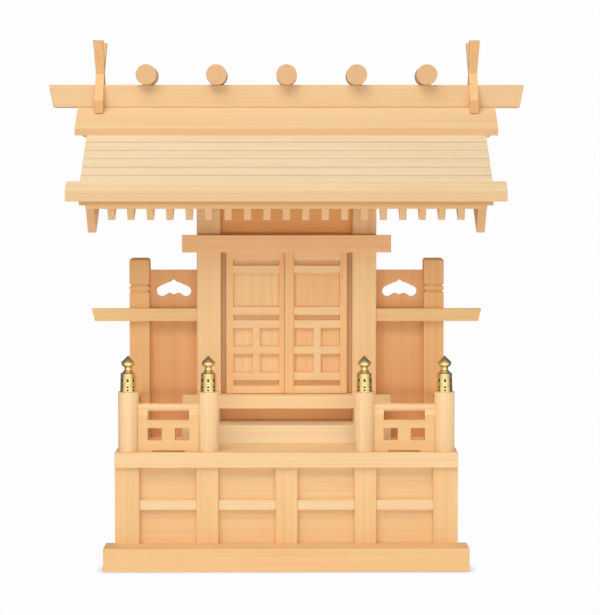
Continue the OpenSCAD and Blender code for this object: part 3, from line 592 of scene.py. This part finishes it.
class SHRINE_OT_stage(bpy.types.Operator):
    """Sets the floor, the light and the camera"""

    bl_idname = "shrine.stage"
    bl_label = "Stage"

    def execute(self, context):
        stage = context.scene.shrine_stage
        context.scene.view_settings.view_transform = "Standard"
        self.make_floor(stage)
        self.make_world(stage)
        self.make_lights(stage)
        self.make_camera(stage)
        return {"FINISHED"}

    def make_floor(self, stage):
        mesh = bpy.data.meshes.new("floor")
        shape = bmesh.new()
        bmesh.ops.create_grid(shape, x_segments=1, y_segments=1, size=6.0)
        shape.to_mesh(mesh)
        shape.free()
        floor = bpy.data.objects.new("floor", mesh)
        bpy.context.scene.collection.objects.link(floor)
        paper = blank_material("pale_floor")
        tree = paper.node_tree
        matt = add_node(tree, "ShaderNodeBsdfDiffuse", {"Color": (*stage.floor, 1.0)})
        glow = add_node(tree, "ShaderNodeEmission", {"Color": (*stage.floor, 1.0)})
        near = add_node(tree, "ShaderNodeAmbientOcclusion", {"Distance": stage.contact})
        shadow = add_node(tree, "ShaderNodeMapRange", {"To Min": CONTACT_SHADE, "To Max": 1.0})
        join(tree, near, "AO", shadow, "Value")
        join(tree, shadow, "Result", glow, "Strength")
        mix = add_node(tree, "ShaderNodeMixShader")
        join(tree, seen_rays(tree), "Value", mix, "Fac")
        tree.links.new(matt.outputs["BSDF"], mix.inputs[1])
        tree.links.new(glow.outputs["Emission"], mix.inputs[2])
        output = add_node(tree, "ShaderNodeOutputMaterial")
        join(tree, mix, "Shader", output, "Surface")
        mesh.materials.append(paper)
        floor.visible_glossy = False

    def make_world(self, stage):
        world = bpy.data.worlds.new("studio")
        bpy.context.scene.world = world
        world.use_nodes = True
        tree = world.node_tree
        tree.nodes.clear()
        way = add_node(tree, "ShaderNodeTexCoord")
        ahead = add_node(tree, "ShaderNodeVectorMath", {1: FRONT_AXIS}, operation="DOT_PRODUCT")
        join(tree, way, "Generated", ahead, 0)
        level = add_node(tree, "ShaderNodeMapRange", {
            "From Min": -1.0, "From Max": 1.0, "To Min": stage.back, "To Max": stage.front})
        join(tree, ahead, "Value", level, "Value")
        rays = add_node(tree, "ShaderNodeLightPath")
        mirrored = add_node(tree, "ShaderNodeMapRange", {
            "From Min": MIRRORED_FROM, "From Max": 1.0, "To Min": stage.shade, "To Max": stage.gloss})
        join(tree, ahead, "Value", mirrored, "Value")
        strength = add_node(tree, "ShaderNodeMix", data_type="FLOAT")
        join(tree, rays, "Is Glossy Ray", strength, "Factor")
        join(tree, level, "Result", strength, "A")
        join(tree, mirrored, "Result", strength, "B")
        soft = add_node(tree, "ShaderNodeBackground", {"Color": (1.0, 1.0, 1.0, 1.0)})
        join(tree, strength, "Result", soft, "Strength")
        plain = add_node(tree, "ShaderNodeBackground", {"Color": (*stage.floor, 1.0), "Strength": 1.0})
        mix = add_node(tree, "ShaderNodeMixShader")
        join(tree, seen_rays(tree), "Value", mix, "Fac")
        tree.links.new(soft.outputs["Background"], mix.inputs[1])
        tree.links.new(plain.outputs["Background"], mix.inputs[2])
        output = add_node(tree, "ShaderNodeOutputWorld")
        join(tree, mix, "Shader", output, "Surface")

    def make_lights(self, stage):
        middle = (0.0, 0.0, 0.2)
        key = area_light("key_light", (-0.40, -1.05, 1.62), middle, (1.6, 1.2), stage.key)
        fill = area_light("fill_light", (1.50, 0.15, 0.45), middle, (0.8, 0.8), stage.fill)
        low = area_light("low_light", (0.00, -1.60, 0.08), middle, (1.8, 0.12), stage.low)
        rear = area_light("rear_light", (0.25, 1.70, 0.50), middle, (1.2, 0.8), stage.rear)
        for lamp in (key, fill, low, rear):
            lamp.visible_glossy = False

    def make_camera(self, stage):
        lens = bpy.data.cameras.new("camera")
        lens.lens = stage.focal
        lens.sensor_width = 36.0
        lens.shift_y = stage.rise
        camera = bpy.data.objects.new("camera", lens)
        front = CAD_BOX[0].y
        camera.location = (stage.side, front - stage.distance, stage.height)
        camera.rotation_euler = (math.pi / 2 - stage.tilt, 0.0, -stage.turn)
        bpy.context.scene.collection.objects.link(camera)
        bpy.context.scene.camera = camera


STEPS = ("base", "railing", "finials", "cella", "doors", "wings", "roof", "ridge", "stage")


class SHRINE_PT_panel(bpy.types.Panel):
    """Lists the shrine's sizes, colours and steps"""

    bl_label = "Shrine"
    bl_idname = "SHRINE_PT_panel"
    bl_space_type = "VIEW_3D"
    bl_region_type = "UI"
    bl_category = "Shrine"

    def draw(self, context):
        for group in (context.scene.shrine_wood, context.scene.shrine_brass, context.scene.shrine_stage):
            box = self.layout.box()
            for key in group.__annotations__:
                box.prop(group, key)
        for step in STEPS:
            self.layout.operator(f"shrine.{step}")


CLASSES = (
    ShrineWood, ShrineBrass, ShrineStage, SHRINE_OT_base, SHRINE_OT_railing, SHRINE_OT_finials,
    SHRINE_OT_cella, SHRINE_OT_doors, SHRINE_OT_wings, SHRINE_OT_roof, SHRINE_OT_ridge, SHRINE_OT_stage,
    SHRINE_PT_panel)


def register():
    for made in CLASSES:
        bpy.utils.register_class(made)
    bpy.types.Scene.shrine_wood = PointerProperty(type=ShrineWood)
    bpy.types.Scene.shrine_brass = PointerProperty(type=ShrineBrass)
    bpy.types.Scene.shrine_stage = PointerProperty(type=ShrineStage)


def unregister():
    del bpy.types.Scene.shrine_stage
    del bpy.types.Scene.shrine_brass
    del bpy.types.Scene.shrine_wood
    for made in reversed(CLASSES):
        bpy.utils.unregister_class(made)


def main():
    register()
    for step in STEPS:
        getattr(bpy.ops.shrine, step)()


if __name__ == "__main__":
    main()
